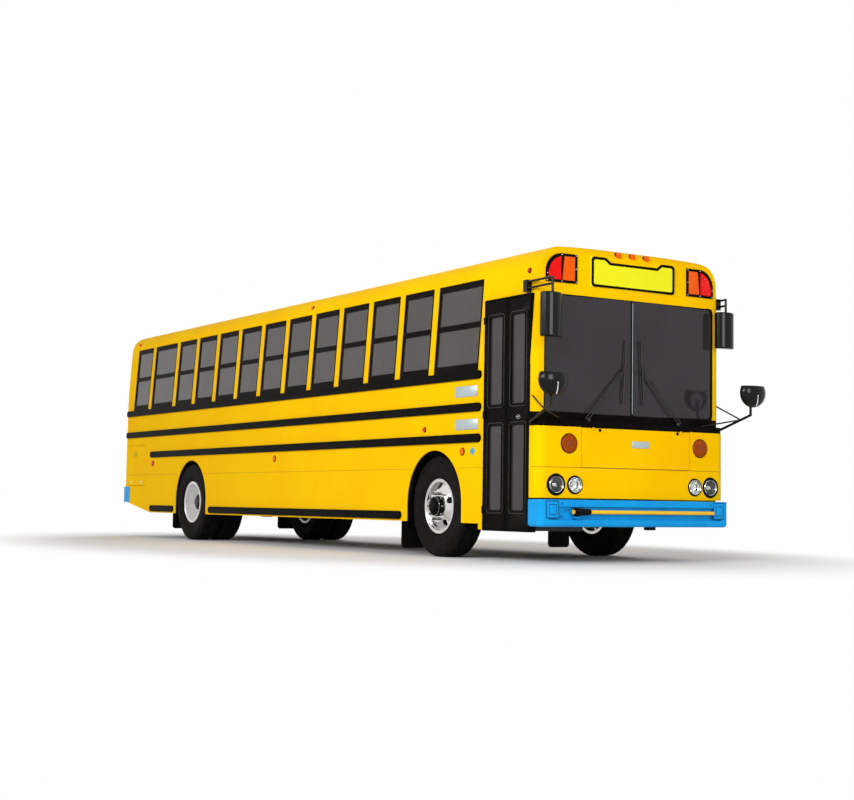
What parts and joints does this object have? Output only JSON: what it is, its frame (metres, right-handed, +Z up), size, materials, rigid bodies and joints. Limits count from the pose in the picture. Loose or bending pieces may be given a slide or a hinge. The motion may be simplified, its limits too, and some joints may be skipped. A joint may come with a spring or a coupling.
{
  "type": "school bus",
  "caption": "Flat-fronted rear-engined school bus, yellow with black rub rails and blue bumpers; steered front wheels, twin rear wheels, opening doors, lids, crossing arm and stop sign.",
  "frame": {"origin": "on the ground, under the middle of the whole bus with its mirrors", "axes": "+X forwards, +Y to the bus's left, +Z up"},
  "size_m": [11.91, 2.9158, 3.2],
  "materials": {
    "body_yellow": "gloss",
    "sign_yellow": "gloss",
    "black_trim": "satin",
    "bumper_blue": "gloss",
    "tinted_glass": "clear",
    "clear_glass": "clear",
    "tyre": "matt",
    "polished_wheel": "polished",
    "chassis_black": "satin",
    "axle_grey": "satin",
    "amber_lens": "gloss",
    "red_lens": "gloss",
    "lamp_glass": "clear",
    "rubber": "matt",
    "seat_vinyl": "satin",
    "dash_plastic": "matt",
    "floor_grey": "satin",
    "engine_grey": "satin",
    "cylinder_grey": "satin",
    "stop_red": "gloss",
    "arm_yellow": "gloss"
  },
  "bodies": {
    "bus_body": {"window_frames": "black_trim", "window_glass": "tinted_glass", "side_walls": "body_yellow", "window_walls": "body_yellow", "roof_shell": "body_yellow", "front_cap": "body_yellow", "windshield_glass": "clear_glass", "windshield_cowl": "black_trim", "nose_panel": "body_yellow", "head_lamps": "lamp_glass", "destination_sign": "sign_yellow", "rear_cap": "body_yellow", "amber_lenses": "amber_lens", "red_lenses": "red_lens", "warning_lamp_frames": "black_trim", "side_trim": "black_trim", "bumpers": "bumper_blue", "chassis_frame": "chassis_black", "floor_pan": "floor_grey", "step_well": "floor_grey", "door_frame": "black_trim", "front_axle": "axle_grey", "rear_axle": "axle_grey", "wheel_housings": "chassis_black", "mud_flaps": "rubber", "engine_block": "engine_grey", "fuel_cylinders": "cylinder_grey", "seats": "seat_vinyl", "dashboard": "dash_plastic", "mirrors": "black_trim", "wipers": "black_trim"},
    "knuckle_right_body": {"knuckle_right": "axle_grey"},
    "knuckle_left_body": {"knuckle_left": "axle_grey"},
    "front_wheel_right": {"front_tyre_right": "tyre", "front_rim_right": "polished_wheel"},
    "front_wheel_left": {"front_tyre_left": "tyre", "front_rim_left": "polished_wheel"},
    "rear_wheels_right": {"rear_tyres_right": "tyre", "rear_rims_right": "polished_wheel"},
    "rear_wheels_left": {"rear_tyres_left": "tyre", "rear_rims_left": "polished_wheel"},
    "entry_leaf_rear": {"door_leaf_rear": "black_trim"},
    "entry_leaf_front": {"door_leaf_front": "black_trim"},
    "exit_door": {"emergency_door": "body_yellow"},
    "rear_lid": {"engine_lid": "body_yellow"},
    "battery_lid": {"battery_door": "body_yellow"},
    "front_lid": {"front_hatch": "body_yellow"},
    "arm": {"crossing_arm": "arm_yellow"},
    "stop_arm": {"stop_sign": "stop_red"}
  },
  "joints": [
    {"name": "steer_right", "type": "hinge", "parent": "bus_body", "child": "knuckle_right_body", "pos_m": [3.58, -0.89, 0.545], "axis": [0, 0, 1], "range_deg": [-35, 35]},
    {"name": "steer_left", "type": "hinge", "parent": "bus_body", "child": "knuckle_left_body", "pos_m": [3.58, 0.89, 0.545], "axis": [0, 0, 1], "range_deg": [-35, 35]},
    {"name": "front_wheel_right_spin", "type": "hinge", "parent": "knuckle_right_body", "child": "front_wheel_right", "pos_m": [3.58, -1.032, 0.545], "axis": [0, 1, 0], "continuous": true},
    {"name": "front_wheel_left_spin", "type": "hinge", "parent": "knuckle_left_body", "child": "front_wheel_left", "pos_m": [3.58, 1.032, 0.545], "axis": [0, 1, 0], "continuous": true},
    {"name": "rear_wheels_right_spin", "type": "hinge", "parent": "bus_body", "child": "rear_wheels_right", "pos_m": [-3.19, -0.907, 0.545], "axis": [0, 1, 0], "continuous": true},
    {"name": "rear_wheels_left_spin", "type": "hinge", "parent": "bus_body", "child": "rear_wheels_left", "pos_m": [-3.19, 0.907, 0.545], "axis": [0, 1, 0], "continuous": true},
    {"name": "entry_leaf_rear_swing", "type": "hinge", "parent": "bus_body", "child": "entry_leaf_rear", "pos_m": [4.5575, -1.225, 1.491], "axis": [0, 0, -1], "range_deg": [0, 90]},
    {"name": "entry_leaf_front_swing", "type": "hinge", "parent": "bus_body", "child": "entry_leaf_front", "pos_m": [5.3525, -1.225, 1.491], "axis": [0, 0, 1], "range_deg": [0, 90]},
    {"name": "emergency_door_swing", "type": "hinge", "parent": "bus_body", "child": "exit_door", "pos_m": [0.5055, 1.233, 1.945], "axis": [0, 0, -1], "range_deg": [0, 90]},
    {"name": "engine_lid_lift", "type": "hinge", "parent": "bus_body", "child": "rear_lid", "pos_m": [-5.924, 0, 1.7875], "axis": [0, 1, 0], "range_deg": [0, 80]},
    {"name": "battery_door_lift", "type": "hinge", "parent": "bus_body", "child": "battery_lid", "pos_m": [-5.42, -1.227, 1.4125], "axis": [-1, 0, 0], "range_deg": [0, 80]},
    {"name": "front_hatch_lift", "type": "hinge", "parent": "bus_body", "child": "front_lid", "pos_m": [5.5615, 0, 1.3505], "axis": [0, -1, 0], "range_deg": [0, 75]},
    {"name": "crossing_arm_swing", "type": "hinge", "parent": "bus_body", "child": "arm", "pos_m": [5.607, -0.8, 0.51], "axis": [0, 0, -1], "range_deg": [0, 90]},
    {"name": "stop_sign_swing", "type": "hinge", "parent": "bus_body", "child": "stop_arm", "pos_m": [4.5, 1.261, 1.75], "axis": [0, 0, -1], "range_deg": [0, 90]}
  ],
  "couplings": [
    {"joint": "steer_left", "follows": "steer_right", "ratio": 1},
    {"joint": "entry_leaf_front_swing", "follows": "entry_leaf_rear_swing", "ratio": 1}
  ]
}
